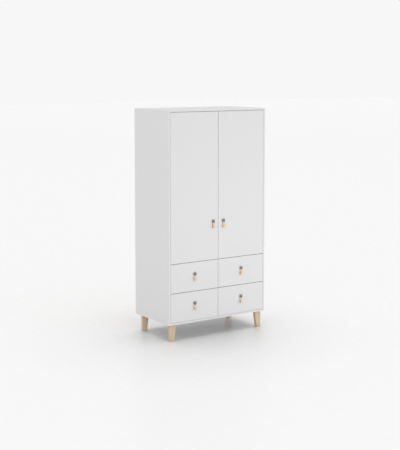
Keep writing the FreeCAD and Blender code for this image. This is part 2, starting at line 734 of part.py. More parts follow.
def make_drawer(owner, low):
    """One left drawer whose front starts at the height low, with its runners. Gives the outer members."""
    front_back = f"({front} + board)"
    space = "(3 * member_depth + 2 * member_gap)"
    box_left = f"({space} - {inside})"
    box_right = f"(-board / 2 - {space})"
    box_low = f"({low} + drawer_box_lift)"
    box_high = f"({low} + drawer_front_height - drawer_box_drop)"
    box_back = f"({leaf_front} - drawer_back_clearance)"
    floor_low = f"({box_low} + drawer_floor_lift)"
    floor_high = f"({floor_low} + drawer_floor + bore_clearance)"

    board = block(f"{owner}_front_board", (f"{pivot_x} + side_gap / 2", "-middle_gap / 2"),
                  (front, front_back), (low, f"{low} + drawer_front_height"))
    board = eased(f"{owner}_front_eased", board, runs_round("y", front, front_back))
    groove = block(f"{owner}_groove", (f"{box_left} + drawer_wall - groove_depth",
                                       f"{box_right} - drawer_wall + groove_depth"),
                   (f"{front_back} - groove_depth", box_back), (floor_low, floor_high))
    pull_z = f"{low} + drawer_front_height / 2 + drawer_pull_lift"
    stem_bore = make_pull(owner, front_centre, pull_z)
    finish(cut(f"{owner}_front", board, [groove, stem_bore]), f"{owner}_front_left")

    left = block(f"{owner}_left_board", (box_left, f"{box_left} + drawer_wall"),
                 (front_back, box_back), (box_low, box_high))
    right = block(f"{owner}_right_board", (f"{box_right} - drawer_wall", box_right),
                  (front_back, box_back), (box_low, box_high))
    rear = block(f"{owner}_rear_board", (f"{box_left} + drawer_wall", f"{box_right} - drawer_wall"),
                 (f"{box_back} - drawer_wall", box_back), (floor_high, box_high))
    walls = [cut(f"{owner}_left_wall", left, [groove]), cut(f"{owner}_right_wall", right, [groove]), rear]
    finish(compound(f"{owner}_box", walls), f"{owner}_box_left")

    floor_board = block(f"{owner}_floor", (f"{box_left} + drawer_wall - groove_depth + leaf_clearance",
                                           f"{box_right} - drawer_wall + groove_depth - leaf_clearance"),
                        (f"{front_back} - groove_depth + leaf_clearance", box_back),
                        (floor_low, f"{floor_low} + drawer_floor"))
    finish(floor_board, f"{owner}_bottom_left")

    middle = f"({box_low} + runner_lift)"
    fixed_y = (f"{front} + runner_setback", f"{leaf_front} - runner_back_clearance")
    moving_y = (f"{front_back} + front_clearance", f"{box_back} - front_clearance")
    middle_y = (f"{fixed_y[0]} + front_clearance", f"{fixed_y[1]} - 2 * front_clearance")
    groups = {"outer": [], "middle": [], "inner": []}
    members = (("outer", 0, fixed_y), ("middle", 1, middle_y), ("inner", 2, moving_y))
    for side, wall, sign in (("a", f"-{inside}", 1), ("b", "-board / 2", -1)):
        for kind, step, y in members:
            groups[kind].append(make_channel(f"{owner}_{kind}_{side}", wall, sign, step,
                                             f"{kind}_member_height", y, middle))
    finish(compound(f"{owner}_runner_middle", groups["middle"]), f"{owner}_runner_middle_left")
    finish(compound(f"{owner}_runner_inner", groups["inner"]), f"{owner}_runner_inner_left")
    for kind in ("front", "box", "bottom", "runner_middle", "runner_inner"):
        source = sub_parts[f"{owner}_{kind}_left"]
        finish(mirror(f"{owner}_{kind}_mirror", source), f"{owner}_{kind}_right")
    return groups["outer"]


# Rows of shelf pins, and the height at which the hat shelf lies on them.
pin_y = (f"{front} + hat_shelf_setback + pin_edge", f"{leaf_front} - pin_edge")
pin_z = f"({hat_shelf_low} - pin_radius - bore_clearance / 2)"
# Front face of each left leg.
leg_places = (("front", f"{front} + leg_front_inset"), ("back", f"{back} - leg_back_inset - leg_thickness"))

make_carcass()
make_back()
make_inside()
make_legs()
make_brackets()
make_doors(make_hinges())
outer_members = make_drawer("lower_drawer", first_front)
outer_members += make_drawer("upper_drawer", f"({first_front} + {front_pitch})")
both_sides("runner_outer_members", outer_members)
doc.recompute()

faults = []
for item in doc.Objects:
    if "Invalid" in item.State or "Error" in item.State:
        faults.append(f"{item.Label} is {item.State}")
for label, item in sub_parts.items():
    if item.Shape.isNull() or not item.Shape.isValid() or not item.Shape.Solids:
        faults.append(f"{label} has no valid solid")
if faults:
    raise RuntimeError("; ".join(faults))

os.makedirs("parts", exist_ok=True)
for label, item in sub_parts.items():
    item.Shape.exportStep(f"parts/{label}.step")
    print(label, len(item.Shape.Solids), round(item.Shape.Volume))
print(len(sub_parts), "sub-parts")
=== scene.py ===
import math
import random

import bmesh
import bpy
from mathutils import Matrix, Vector


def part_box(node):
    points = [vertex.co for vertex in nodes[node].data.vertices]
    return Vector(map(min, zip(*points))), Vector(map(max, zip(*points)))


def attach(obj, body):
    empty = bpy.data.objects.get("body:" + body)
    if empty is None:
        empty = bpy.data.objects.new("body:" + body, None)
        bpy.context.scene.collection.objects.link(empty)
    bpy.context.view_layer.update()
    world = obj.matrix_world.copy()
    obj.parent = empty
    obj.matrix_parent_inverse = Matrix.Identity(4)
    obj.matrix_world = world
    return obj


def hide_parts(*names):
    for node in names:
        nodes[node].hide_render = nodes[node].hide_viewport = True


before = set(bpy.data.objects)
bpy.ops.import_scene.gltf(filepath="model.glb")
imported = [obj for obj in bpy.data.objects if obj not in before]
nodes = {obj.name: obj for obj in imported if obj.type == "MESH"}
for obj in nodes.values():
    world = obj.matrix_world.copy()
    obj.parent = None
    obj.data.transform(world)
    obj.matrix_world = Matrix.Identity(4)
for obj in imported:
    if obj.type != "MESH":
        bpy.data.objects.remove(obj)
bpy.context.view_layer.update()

sides = ("left", "right")
drawerRows = ("lower", "upper")
fronts = ["door_left", "door_right"] + [f"{row}_drawer_{side}" for row in drawerRows for side in sides]


def ownerNode(kind, front):
    # "door_left" -> "pull_strap_door_left"
    return f"{kind}_{front}"


def boardOf(front):
    # the door board itself, or the front board of a drawer
    if front.startswith("door"):
        return front
    owner, side = front.rsplit("_", 1)
    return f"{owner}_front_{side}"


def addNode(tree, kind, settings=None, **inputs):
    # settings are the node's own fields, and inputs are values or sockets to link
    item = tree.nodes.new(kind)
    for name, value in (settings or {}).items():
        setattr(item, name, value)
    for name, value in inputs.items():
        socket = item.inputs[name.replace("_", " ")]
        if isinstance(value, bpy.types.NodeSocket):
            tree.links.new(value, socket)
        else:
            socket.default_value = value
    return item


def newMaterial(name, metallic=0.0, specular=0.5):
    material = bpy.data.materials.new(name)
    material.use_nodes = True
    tree = material.node_tree
    shader = tree.nodes["Principled BSDF"]
    shader.inputs["Metallic"].default_value = metallic
    shader.inputs["Specular IOR Level"].default_value = specular
    return material, tree, shader


def objectPlace(tree, stretch=(1.0, 1.0, 1.0)):
    # a small number in stretch draws the pattern out along that axis
    coords = addNode(tree, "ShaderNodeTexCoord")
    mapping = addNode(tree, "ShaderNodeMapping", Vector=coords.outputs["Object"])
    mapping.inputs["Scale"].default_value = stretch
    return mapping.outputs["Vector"]


def noise(tree, place, scale, detail, roughness, distortion=0.0):
    item = addNode(tree, "ShaderNodeTexNoise", Vector=place, Scale=scale, Detail=detail,
                   Roughness=roughness, Distortion=distortion)
    return item.outputs["Fac"]


def ramp(tree, factor, stops):
    item = addNode(tree, "ShaderNodeValToRGB", Fac=factor)
    elements = item.color_ramp.elements
    while len(elements) < len(stops):
        elements.new(0.5)
    for element, (position, tone) in zip(elements, stops):
        element.position = position
        element.color = tone
    return item.outputs["Color"]


def remap(tree, value, low, high, newLow, newHigh):
    item = addNode(tree, "ShaderNodeMapRange", Value=value)
    item.inputs["From Min"].default_value = low
    item.inputs["From Max"].default_value = high
    item.inputs["To Min"].default_value = newLow
    item.inputs["To Max"].default_value = newHigh
    return item.outputs["Result"]


def spread(tree, value, newLow=0.0, newHigh=1.0):
    # the middle of a noise, stretched to the given range
    return remap(tree, value, 0.3, 0.7, newLow, newHigh)


def calc(tree, operation, first, second=0.0):
    item = tree.nodes.new("ShaderNodeMath")
    item.operation = operation
    for socket, value in zip(item.inputs, (first, second)):
        if isinstance(value, bpy.types.NodeSocket):
            tree.links.new(value, socket)
        else:
            socket.default_value = value
    return item.outputs["Value"]


def blendColors(tree, factor, first, second):
    # inputs 6 and 7 of the node are its two colors, and output 2 is the blended one
    item = tree.nodes.new("ShaderNodeMix")
    item.data_type = "RGBA"
    for socket, value in ((item.inputs[0], factor), (item.inputs[6], first), (item.inputs[7], second)):
        if isinstance(value, bpy.types.NodeSocket):
            tree.links.new(value, socket)
        else:
            socket.default_value = value
    return item.outputs[2]


def bump(tree, shader, height, strength, distance, under=None):
    item = addNode(tree, "ShaderNodeBump", Height=height, Strength=strength, Distance=distance)
    if under is not None:
        tree.links.new(under, item.inputs["Normal"])
    tree.links.new(item.outputs["Normal"], shader.inputs["Normal"])
    return item.outputs["Normal"]


def rgb(red, green, blue):
    return (red, green, blue, 1.0)


boardFinish = {
    "tone": rgb(0.752, 0.752, 0.752),
    "dullTone": rgb(0.745, 0.745, 0.745),
    "drawerTone": rgb(0.735, 0.735, 0.73),
    "drawerDullTone": rgb(0.715, 0.715, 0.71),
    "cloudScale": 3.0,
    "mottleScale": 55.0,
    "mottleRange": (0.12, 0.42),
    "pearlScale": 1100.0,
    "pearlStrength": 0.35,
    "pearlDepth": 0.00006,
    "glossScale": 240.0,
    "roughness": (0.40, 0.52),
    "seamTone": rgb(0.55, 0.54, 0.52),
    "edgingThickness": 0.001,
    "seamWidth": 0.00012,
}


def makeFacedBoard(name, tone, dullTone, seams=True):
    # matt melamine: very fine pearl texture, and the hairline seam of the edging just behind the front
    material, tree, shader = newMaterial(name, specular=0.42)
    place = objectPlace(tree)
    cloud = noise(tree, place, boardFinish["cloudScale"], 3.0, 0.6)
    mottle = noise(tree, place, boardFinish["mottleScale"], 4.0, 0.65)
    mixed = calc(tree, "MULTIPLY", cloud, mottle)
    color = blendColors(tree, remap(tree, mixed, *boardFinish["mottleRange"], 0.0, 1.0), dullTone, tone)
    pearl = noise(tree, place, boardFinish["pearlScale"], 2.0, 0.7)
    gloss = noise(tree, place, boardFinish["glossScale"], 3.0, 0.6)
    tree.links.new(spread(tree, gloss, *boardFinish["roughness"]), shader.inputs["Roughness"])
    if seams:
        parts = addNode(tree, "ShaderNodeSeparateXYZ", Vector=place)
        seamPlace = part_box("side_panel_left")[0][1] + boardFinish["edgingThickness"]
        offset = calc(tree, "SUBTRACT", parts.outputs["Y"], seamPlace)
        near = calc(tree, "LESS_THAN", calc(tree, "ABSOLUTE", offset), boardFinish["seamWidth"])
        color = blendColors(tree, near, color, boardFinish["seamTone"])
    tree.links.new(color, shader.inputs["Base Color"])
    bump(tree, shader, pearl, boardFinish["pearlStrength"], boardFinish["pearlDepth"])
    return material


fibreboardFinish = {
    "white": rgb(0.74, 0.74, 0.735),
    "whiteDull": rgb(0.72, 0.72, 0.712),
    "raw": rgb(0.43, 0.31, 0.20),
    "rawDark": rgb(0.30, 0.205, 0.125),
    "fleckScale": 900.0,
    "fleckStretch": (1.0, 1.0, 0.35),
    "fleckShare": 0.7,
    "patchScale": 26.0,
    "darkToLight": (0.36, 0.62),
    "roughness": (0.45, 0.8),         # lacquered, raw
    "reliefStrength": 0.3,
    "reliefDepth": 0.0001,
}


def makeFibreboard(name, axis, rawFrom):
    # thin fibreboard: white lacquer on the face seen inside, raw brown fibres on the other
    # the raw face begins at rawFrom: behind that place on Y, or below it on Z
    material, tree, shader = newMaterial(name, specular=0.3)
    place = objectPlace(tree)
    flecks = objectPlace(tree, fibreboardFinish["fleckStretch"])
    fibres = noise(tree, flecks, fibreboardFinish["fleckScale"], 5.0, 0.7, 0.6)
    patches = noise(tree, place, fibreboardFinish["patchScale"], 4.0, 0.6)
    share = fibreboardFinish["fleckShare"]
    grain = calc(tree, "ADD", calc(tree, "MULTIPLY", fibres, share),
                 calc(tree, "MULTIPLY", patches, 1.0 - share))
    dark, light = fibreboardFinish["darkToLight"]
    raw = ramp(tree, grain, [(dark, fibreboardFinish["rawDark"]), (light, fibreboardFinish["raw"])])
    white = blendColors(tree, spread(tree, patches), fibreboardFinish["white"],
                        fibreboardFinish["whiteDull"])
    parts = addNode(tree, "ShaderNodeSeparateXYZ", Vector=place)
    past = "GREATER_THAN" if axis == "Y" else "LESS_THAN"
    rawSide = calc(tree, past, parts.outputs[axis], rawFrom)
    tree.links.new(blendColors(tree, rawSide, white, raw), shader.inputs["Base Color"])
    rough = remap(tree, rawSide, 0.0, 1.0, *fibreboardFinish["roughness"])
    tree.links.new(rough, shader.inputs["Roughness"])
    bump(tree, shader, fibres, fibreboardFinish["reliefStrength"], fibreboardFinish["reliefDepth"])
    return material


legFinish = {
    "light": rgb(0.74, 0.58, 0.415),
    "middle": rgb(0.66, 0.50, 0.345),
    "dark": rgb(0.53, 0.385, 0.25),
    "pore": rgb(0.36, 0.25, 0.155),
    "lightToDark": (0.30, 0.52, 0.80),
    "bandDraw": 0.07,                 # scale up the leg: a small one draws the pattern out
    "fibreDraw": 0.025,
    "strandDraw": 0.03,
    "poreDraw": 0.045,
    "bandScale": 46.0,
    "bandWander": 5.5,
    "wanderScale": 9.0,
    "fibreScale": 950.0,
    "strandScale": 260.0,
    "poreScale": 1500.0,
    "bandShare": 0.42,
    "strandShare": 0.38,
    "wanderShare": 0.25,
    "poreRange": (0.64, 0.74),
    "poreStrength": 0.75,
    "fibreRange": (0.25, 0.75),
    "roughness": (0.42, 0.62),
    "fibreRelief": (0.45, 0.00025),   # strength, depth
    "strandRelief": (0.2, 0.0004),
}


def alongLeg(tree, draw):
    return objectPlace(tree, (1.0, 1.0, draw))


def makePaleOak(name):
    # vertical grain: wide growth bands, fine fibres and short dark pores
    material, tree, shader = newMaterial(name, specular=0.4)
    along = alongLeg(tree, legFinish["bandDraw"])
    wander = noise(tree, along, legFinish["wanderScale"], 3.0, 0.55)
    bands = addNode(tree, "ShaderNodeTexWave", {"wave_type": "BANDS", "bands_direction": "DIAGONAL"},
                    Vector=along, Scale=legFinish["bandScale"], Distortion=legFinish["bandWander"],
                    Detail=2.5, Detail_Scale=1.6)
    fibres = noise(tree, alongLeg(tree, legFinish["fibreDraw"]), legFinish["fibreScale"], 5.0, 0.65)
    strands = noise(tree, alongLeg(tree, legFinish["strandDraw"]), legFinish["strandScale"], 4.0, 0.6)
    grain = calc(tree, "ADD", calc(tree, "MULTIPLY", bands.outputs["Fac"], legFinish["bandShare"]),
                 calc(tree, "MULTIPLY", strands, legFinish["strandShare"]))
    grain = calc(tree, "ADD", grain, calc(tree, "MULTIPLY", wander, legFinish["wanderShare"]))
    tones = (legFinish["light"], legFinish["middle"], legFinish["dark"])
    color = ramp(tree, grain, list(zip(legFinish["lightToDark"], tones)))
    poreNoise = noise(tree, alongLeg(tree, legFinish["poreDraw"]), legFinish["poreScale"], 2.0, 0.4)
    pores = remap(tree, poreNoise, *legFinish["poreRange"], 0.0, legFinish["poreStrength"])
    color = blendColors(tree, pores, color, legFinish["pore"])
    tree.links.new(color, shader.inputs["Base Color"])
    rough = remap(tree, fibres, *legFinish["fibreRange"], *legFinish["roughness"])
    tree.links.new(rough, shader.inputs["Roughness"])
    grooves = bump(tree, shader, calc(tree, "SUBTRACT", fibres, pores), *legFinish["fibreRelief"])
    bump(tree, shader, strands, *legFinish["strandRelief"], grooves)
    return material


leatherFinish = {
    "face": rgb(0.88, 0.685, 0.50),
    "faceDark": rgb(0.81, 0.61, 0.435),
    "edge": rgb(0.72, 0.53, 0.365),
    "flesh": rgb(0.85, 0.68, 0.52),
    "fleshDark": rgb(0.77, 0.60, 0.45),
    "grainScale": 820.0,
    "grainWidth": 0.28,
    "cloudScale": 70.0,
    "cloudRange": (0.32, 0.68),
    "poreScale": 2600.0,
    "poreRange": (0.62, 0.72),
    "poreShare": 0.35,
    "napScale": 1800.0,
    "roughness": (0.44, 0.56),
    "fleshRougher": 0.3,
    "edgeSmoother": 0.12,
    "edgeRange": (0.2, 0.8),
    "burnish": (0.75, 1.0),
    "grainShare": 0.5,
    "sheen": 0.08,
    "sheenRoughness": 0.5,
    "fineRelief": (0.35, 0.0002),     # strength, depth
    "broadRelief": (0.25, 0.0006),
}


def makeLeather(name):
    # smooth grain side outside, suede flesh side inside the loop, burnished darker edges
    material, tree, shader = newMaterial(name, specular=0.4)
    place = addNode(tree, "ShaderNodeUVMap", {"uv_map": "strapMap"}).outputs["UV"]
    cells = addNode(tree, "ShaderNodeTexVoronoi", {"feature": "DISTANCE_TO_EDGE"},
                    Vector=place, Scale=leatherFinish["grainScale"], Randomness=0.95)
    grain = remap(tree, cells.outputs["Distance"], 0.0, leatherFinish["grainWidth"], 0.0, 1.0)
    cloud = noise(tree, place, leatherFinish["cloudScale"], 5.0, 0.65)
    poreNoise = noise(tree, place, leatherFinish["poreScale"], 2.0, 0.5)
    pores = remap(tree, poreNoise, *leatherFinish["poreRange"], 0.0, 1.0)
    tone = blendColors(tree, remap(tree, cloud, *leatherFinish["cloudRange"], 0.0, 1.0),
                       leatherFinish["faceDark"], leatherFinish["face"])
    poreShare = calc(tree, "MULTIPLY", pores, leatherFinish["poreShare"])
    tone = blendColors(tree, poreShare, tone, leatherFinish["faceDark"])
    nap = noise(tree, place, leatherFinish["napScale"], 6.0, 0.8)
    inner = addNode(tree, "ShaderNodeAttribute", {"attribute_name": "fleshSide"}).outputs["Fac"]
    edge = addNode(tree, "ShaderNodeAttribute", {"attribute_name": "cutEdge"}).outputs["Fac"]
    napTone = blendColors(tree, nap, leatherFinish["fleshDark"], leatherFinish["flesh"])
    tone = blendColors(tree, inner, tone, napTone)
    burnish = remap(tree, cloud, *leatherFinish["edgeRange"], *leatherFinish["burnish"])
    tone = blendColors(tree, calc(tree, "MULTIPLY", edge, burnish), tone, leatherFinish["edge"])
    tree.links.new(tone, shader.inputs["Base Color"])
    rough = calc(tree, "ADD", spread(tree, cloud, *leatherFinish["roughness"]),
                 calc(tree, "MULTIPLY", inner, leatherFinish["fleshRougher"]))
    smoother = calc(tree, "MULTIPLY", edge, leatherFinish["edgeSmoother"])
    tree.links.new(calc(tree, "SUBTRACT", rough, smoother), shader.inputs["Roughness"])
    shader.inputs["Sheen Weight"].default_value = leatherFinish["sheen"]
    shader.inputs["Sheen Roughness"].default_value = leatherFinish["sheenRoughness"]
    relief = calc(tree, "ADD", calc(tree, "MULTIPLY", grain, leatherFinish["grainShare"]),
                  calc(tree, "MULTIPLY", nap, inner))
    fine = bump(tree, shader, relief, *leatherFinish["fineRelief"])
    bump(tree, shader, cloud, *leatherFinish["broadRelief"], fine)
    return material


metalFinish = {
    "gunmetal": {"tone": (0.225, 0.223, 0.222), "roughness": 0.36, "brush": (1.0, 1.0, 1.0)},
    "chrome": {"tone": (0.82, 0.82, 0.83), "roughness": 0.10, "brush": (0.04, 1.0, 1.0)},
    "zincPlate": {"tone": (0.60, 0.61, 0.62), "roughness": 0.36, "brush": (1.0, 1.0, 1.0)},
    "runnerZinc": {"tone": (0.58, 0.60, 0.62), "roughness": 0.32, "brush": (1.0, 0.03, 1.0)},
    "nickel": {"tone": (0.66, 0.64, 0.60), "roughness": 0.26, "brush": (1.0, 1.0, 0.12)},
    "castZinc": {"tone": (0.48, 0.48, 0.48), "roughness": 0.5, "brush": (1.0, 1.0, 1.0)},
}
metalWear = {
    "lineScale": 1400.0,
    "dullingScale": 60.0,
    "bright": 1.04,
    "dark": 0.94,
    "lineRougher": 0.10,
    "smoother": 0.08,
    "rougher": 0.03,
    "lineRelief": (0.18, 0.00004),    # strength, depth
}


def makeMetal(name):
    # plated or painted metal: drawn lines or cast grain, with a mottled dulling
    finish = metalFinish[name]
    material, tree, shader = newMaterial(name, metallic=1.0)
    lines = noise(tree, objectPlace(tree, finish["brush"]), metalWear["lineScale"], 4.0, 0.7)
    dulling = noise(tree, objectPlace(tree), metalWear["dullingScale"], 5.0, 0.6)
    bright = tuple(min(1.0, part * metalWear["bright"]) for part in finish["tone"])
    dark = tuple(part * metalWear["dark"] for part in finish["tone"])
    color = blendColors(tree, spread(tree, dulling), rgb(*dark), rgb(*bright))
    tree.links.new(color, shader.inputs["Base Color"])
    dull = spread(tree, dulling, finish["roughness"] - metalWear["smoother"],
                  finish["roughness"] + metalWear["rougher"])
    rough = calc(tree, "ADD", calc(tree, "MULTIPLY", lines, metalWear["lineRougher"]), dull)
    tree.links.new(rough, shader.inputs["Roughness"])
    bump(tree, shader, lines, *metalWear["lineRelief"])
    return material


plasticFinish = {
    "stripTone": (0.80, 0.80, 0.79),
    "bumperTone": (0.86, 0.86, 0.84),
    "bumperClear": 0.55,
    "speckScale": 700.0,
    "dark": 0.93,
    "roughness": (0.28, 0.42),
    "relief": (0.2, 0.00005),         # strength, depth
}


def makePlastic(name, tone, clear=0.0):
    # moulded plastic with a very fine spark-eroded texture
    material, tree, shader = newMaterial(name)
    speck = noise(tree, objectPlace(tree), plasticFinish["speckScale"], 3.0, 0.6)
    dark = tuple(part * plasticFinish["dark"] for part in tone)
    color = blendColors(tree, spread(tree, speck), rgb(*dark), rgb(*tone))
    tree.links.new(color, shader.inputs["Base Color"])
    tree.links.new(spread(tree, speck, *plasticFinish["roughness"]), shader.inputs["Roughness"])
    shader.inputs["Transmission Weight"].default_value = clear
    bump(tree, shader, speck, *plasticFinish["relief"])
    return material


floorFinish = {
    "tone": rgb(0.596, 0.596, 0.596),
    "paleTone": rgb(0.604, 0.604, 0.604),
    "cloudScale": 0.7,
    "glossScale": 14.0,
    "roughness": (0.30, 0.42),
    "halfSize": 60.0,
}


def makeFloorFinish(name):
    # pale seamless floor with a faint sheen
    material, tree, shader = newMaterial(name, specular=0.35)
    place = objectPlace(tree)
    cloud = noise(tree, place, floorFinish["cloudScale"], 3.0, 0.5)
    color = blendColors(tree, cloud, floorFinish["tone"], floorFinish["paleTone"])
    tree.links.new(color, shader.inputs["Base Color"])
    gloss = noise(tree, place, floorFinish["glossScale"], 4.0, 0.6)
    tree.links.new(spread(tree, gloss, *floorFinish["roughness"]), shader.inputs["Roughness"])
    return material


backLow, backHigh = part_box("back_panel_left")
whiteBoard = makeFacedBoard("matteWhiteBoard", boardFinish["tone"], boardFinish["dullTone"])
drawerBoard = makeFacedBoard("drawerSideBoard", boardFinish["drawerTone"], boardFinish["drawerDullTone"],
                             seams=False)
backBoard = makeFibreboard("backFibreboard", "Y", (backLow[1] + backHigh[1]) / 2)
paleOak = makePaleOak("paleOakLegs")
leather = makeLeather("naturalLeather")
metals = {name: makeMetal(name) for name in metalFinish}
whitePlastic = makePlastic("mattWhitePlastic", plasticFinish["stripTone"])
clearRubber = makePlastic("clearSilicone", plasticFinish["bumperTone"], plasticFinish["bumperClear"])
drawerFloors = {}
for row in drawerRows:
    low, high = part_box(f"{row}_drawer_bottom_left")
    drawerFloors[row] = makeFibreboard(f"{row}DrawerFloor", "Z", (low[2] + high[2]) / 2)
print("materials")


def finishFor(name):
    if name.endswith("_bottom_left") or name.endswith("_bottom_right"):
        return drawerFloors[name.split("_")[0]]
    if "_box_" in name:
        return drawerBoard
    if name.startswith("back_panel"):
        return backBoard
    if name.startswith("leg_") and name != "leg_bolts":
        return paleOak
    if name.startswith("pull_strap"):
        return leather
    if name.startswith("pull_button"):
        return metals["gunmetal"]
    if name in ("clothes_rail", "rail_sockets"):
        return metals["chrome"]
    if "runner" in name:
        return metals["runnerZinc"]
    if name.startswith("hinge"):
        return metals["nickel"]
    if name == "cam_fittings":
        return metals["castZinc"]
    if name in ("shelf_pins", "leg_bolts", "wall_brackets"):
        return metals["zincPlate"]
    if name == "back_joining_strip":
        return whitePlastic
    return whiteBoard


for name, item in nodes.items():
    item.data.materials.clear()
    item.data.materials.append(finishFor(name))
print("finishes on", len(nodes), "frame parts")


def linkObject(name, mesh, material=None):
    item = bpy.data.objects.new(name, mesh)
    bpy.context.scene.collection.objects.link(item)
    if material is not None:
        item.data.materials.append(material)
    return item


def shadeSmooth(item, sharpFrom=35):
    # smooth, but for the edges that turn by sharpFrom degrees or more
    for polygon in item.data.polygons:
        polygon.use_smooth = True
    work = bmesh.new()
    work.from_mesh(item.data)
    for edge in work.edges:
        edge.smooth = len(edge.link_faces) == 2 and edge.calc_face_angle(0.0) < math.radians(sharpFrom)
    work.to_mesh(item.data)
    work.free()


def lathe(work, profile, segments, center, outward):
    # profile: (radius, height along outward), from one point on the axis to another
    outward = Vector(outward).normalized()
    across = outward.orthogonal().normalized()
    other = outward.cross(across)
    rings = []
    for radius, height in profile:
        if radius < 1e-7:  # a pole
            rings.append([work.verts.new(center + outward * height)])
            continue
        ring = []
        for step in range(segments):
            turn = 2 * math.pi * step / segments
            spoke = across * math.cos(turn) + other * math.sin(turn)
            ring.append(work.verts.new(center + outward * height + spoke * radius))
        rings.append(ring)
    for lower, upper in zip(rings, rings[1:]):
        for step in range(segments):
            after = (step + 1) % segments
            corners = [lower[step % len(lower)], lower[after % len(lower)],
                       upper[after % len(upper)], upper[step % len(upper)]]
            unique = []
            for corner in corners:
                if corner not in unique:
                    unique.append(corner)
            if len(unique) > 2:
                work.faces.new(unique)


def arcPoints(centerX, centerY, radius, start, end, count):
    # points of an arc in degrees
    points = []
    for step in range(count + 1):
        turn = math.radians(start + (end - start) * step / count)
        points.append((centerX + radius * math.cos(turn), centerY + radius * math.sin(turn)))
    return points


buttonShape = {
    "rim": 0.0018,
    "dome": 0.004,
    "rimFillet": 0.0005,
    "seatInset": 0.0012,       # flat seat on the leather, then a small chamfer
    "chamferInset": 0.0006,
    "chamferUp": 0.0003,
    "grooveDepth": 0.00035,
    "grooveUp": 0.00055,
    "rimUp": 0.0006,
    "underArc": (-60, 0, 4),   # from and to in degrees, steps
    "overArc": (0, 62, 5),
    "overSink": 0.4,           # shares of the fillet
    "domeInset": 0.55,
    "domeSteps": 14,
    "segments": 72,
    "stemRadius": 0.0025,
    "threadPitch": 0.0007,
    "threadRoot": 0.86,        # share of the stem's radius
    "stemSides": 16,
    "stemSunk": 0.0002,
}


def buttonProfile(radius, height):
    # spherical cap on a short rim, with a fine groove under the rim
    shape = buttonShape
    fillet = shape["rimFillet"]
    dome = height - shape["rim"]
    curve = (radius ** 2 + dome ** 2) / (2 * dome)
    profile = [(0.0, 0.0), (radius - shape["seatInset"], 0.0)]
    profile.append((radius - shape["chamferInset"], shape["chamferUp"]))
    profile.append((radius - shape["grooveDepth"], shape["grooveUp"]))
    profile += arcPoints(radius - fillet, shape["rimUp"] + fillet, fillet, *shape["underArc"])
    overUp = shape["rim"] - fillet * shape["overSink"]
    profile += arcPoints(radius - fillet, overUp, fillet, *shape["overArc"])
    reach = math.asin((radius - fillet * shape["domeInset"]) / curve)
    steps = shape["domeSteps"]
    for step in range(1, steps + 1):
        angle = reach * (1 - step / steps)
        profile.append((curve * math.sin(angle), height - curve * (1 - math.cos(angle))))
    profile[-1] = (0.0, height)
    return profile


def makeButton(front):
    low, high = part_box(ownerNode("pull_button", front))
    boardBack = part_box(boardOf(front))[1][1]
    radius = (high[0] - low[0]) / 2
    height = buttonShape["rim"] + buttonShape["dome"]
    seat = Vector(((high[0] + low[0]) / 2, low[1] + height, (high[2] + low[2]) / 2))
    work = bmesh.new()
    lathe(work, buttonProfile(radius, height), buttonShape["segments"], seat, (0, -1, 0))
    # threaded stem through the leather and the board
    stem = buttonShape["stemRadius"]
    pitch = buttonShape["threadPitch"]
    length = boardBack - seat.y
    profile = [(0.0, -buttonShape["stemSunk"])]
    for step in range(int(length / pitch)):
        profile.append((stem, step * pitch))
        profile.append((stem * buttonShape["threadRoot"], (step + 0.5) * pitch))
    profile.append((0.0, length))
    lathe(work, profile, buttonShape["stemSides"], seat, (0, 1, 0))
    bmesh.ops.recalc_face_normals(work, faces=work.faces)
    mesh = bpy.data.meshes.new(f"pullButton_{front}")
    work.to_mesh(mesh)
    work.free()
    item = linkObject(f"pullButton_{front}", mesh, metals["gunmetal"])
    shadeSmooth(item)
    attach(item, front)
    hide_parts(ownerNode("pull_button", front))


strapShape = {
    "thickness": 0.0026,
    "edgeRound": 0.0010,
    "mostRound": 0.98,         # share of half the thickness
    "acrossSteps": 10,
    "edgeSteps": 4,
    "alongLeaf": 22,
    "alongFold": 26,
    "alongHead": 6,
    "neck": 0.015,             # from the button's middle down to where the two leaves meet
    "crown": 0.00015,
    "waver": 0.00015,          # of the cut edges, to either side
    "waverTurns": 130,         # radians for each metre of strap
    "waverStart": (0.0, 6.28),
    "depthShare": (0.955, 0.995),
    "lean": 0.004,             # at most, sideways for each metre up
    "endTrim": (0.90, 0.975),  # the last two rings draw in, which rounds the cut end
    "foldLift": 0.0002,
    "boardGap": 0.00002,
    "firstSeed": 40,
}


def loopPath(top, bottom, depth, thickness):
    # middle line of the strap as (outwards, up): down the back leaf, round the fold, up the front leaf
    half = thickness / 2
    foldRadius = (depth - thickness) / 2
    foldUp = bottom + depth / 2
    path = []
    for step in range(strapShape["alongLeaf"]):
        share = step / strapShape["alongLeaf"]
        path.append(Vector((half, top + (foldUp - top) * share)))
    for step in range(strapShape["alongFold"] + 1):
        turn = math.pi + math.pi * step / strapShape["alongFold"]
        outwards = half + foldRadius + foldRadius * math.cos(turn)
        path.append(Vector((outwards, foldUp + foldRadius * math.sin(turn))))
    neckUp = -strapShape["neck"]
    outer = path[-1].x
    for step in range(1, strapShape["alongLeaf"] + 1):
        share = step / strapShape["alongLeaf"]
        ease = share * share * (3 - 2 * share)
        path.append(Vector((outer + (thickness + half - outer) * ease, foldUp + (neckUp - foldUp) * share)))
    for step in range(1, strapShape["alongHead"] + 1):
        share = step / strapShape["alongHead"]
        path.append(Vector((thickness + half, neckUp + (top - neckUp) * share)))
    return path


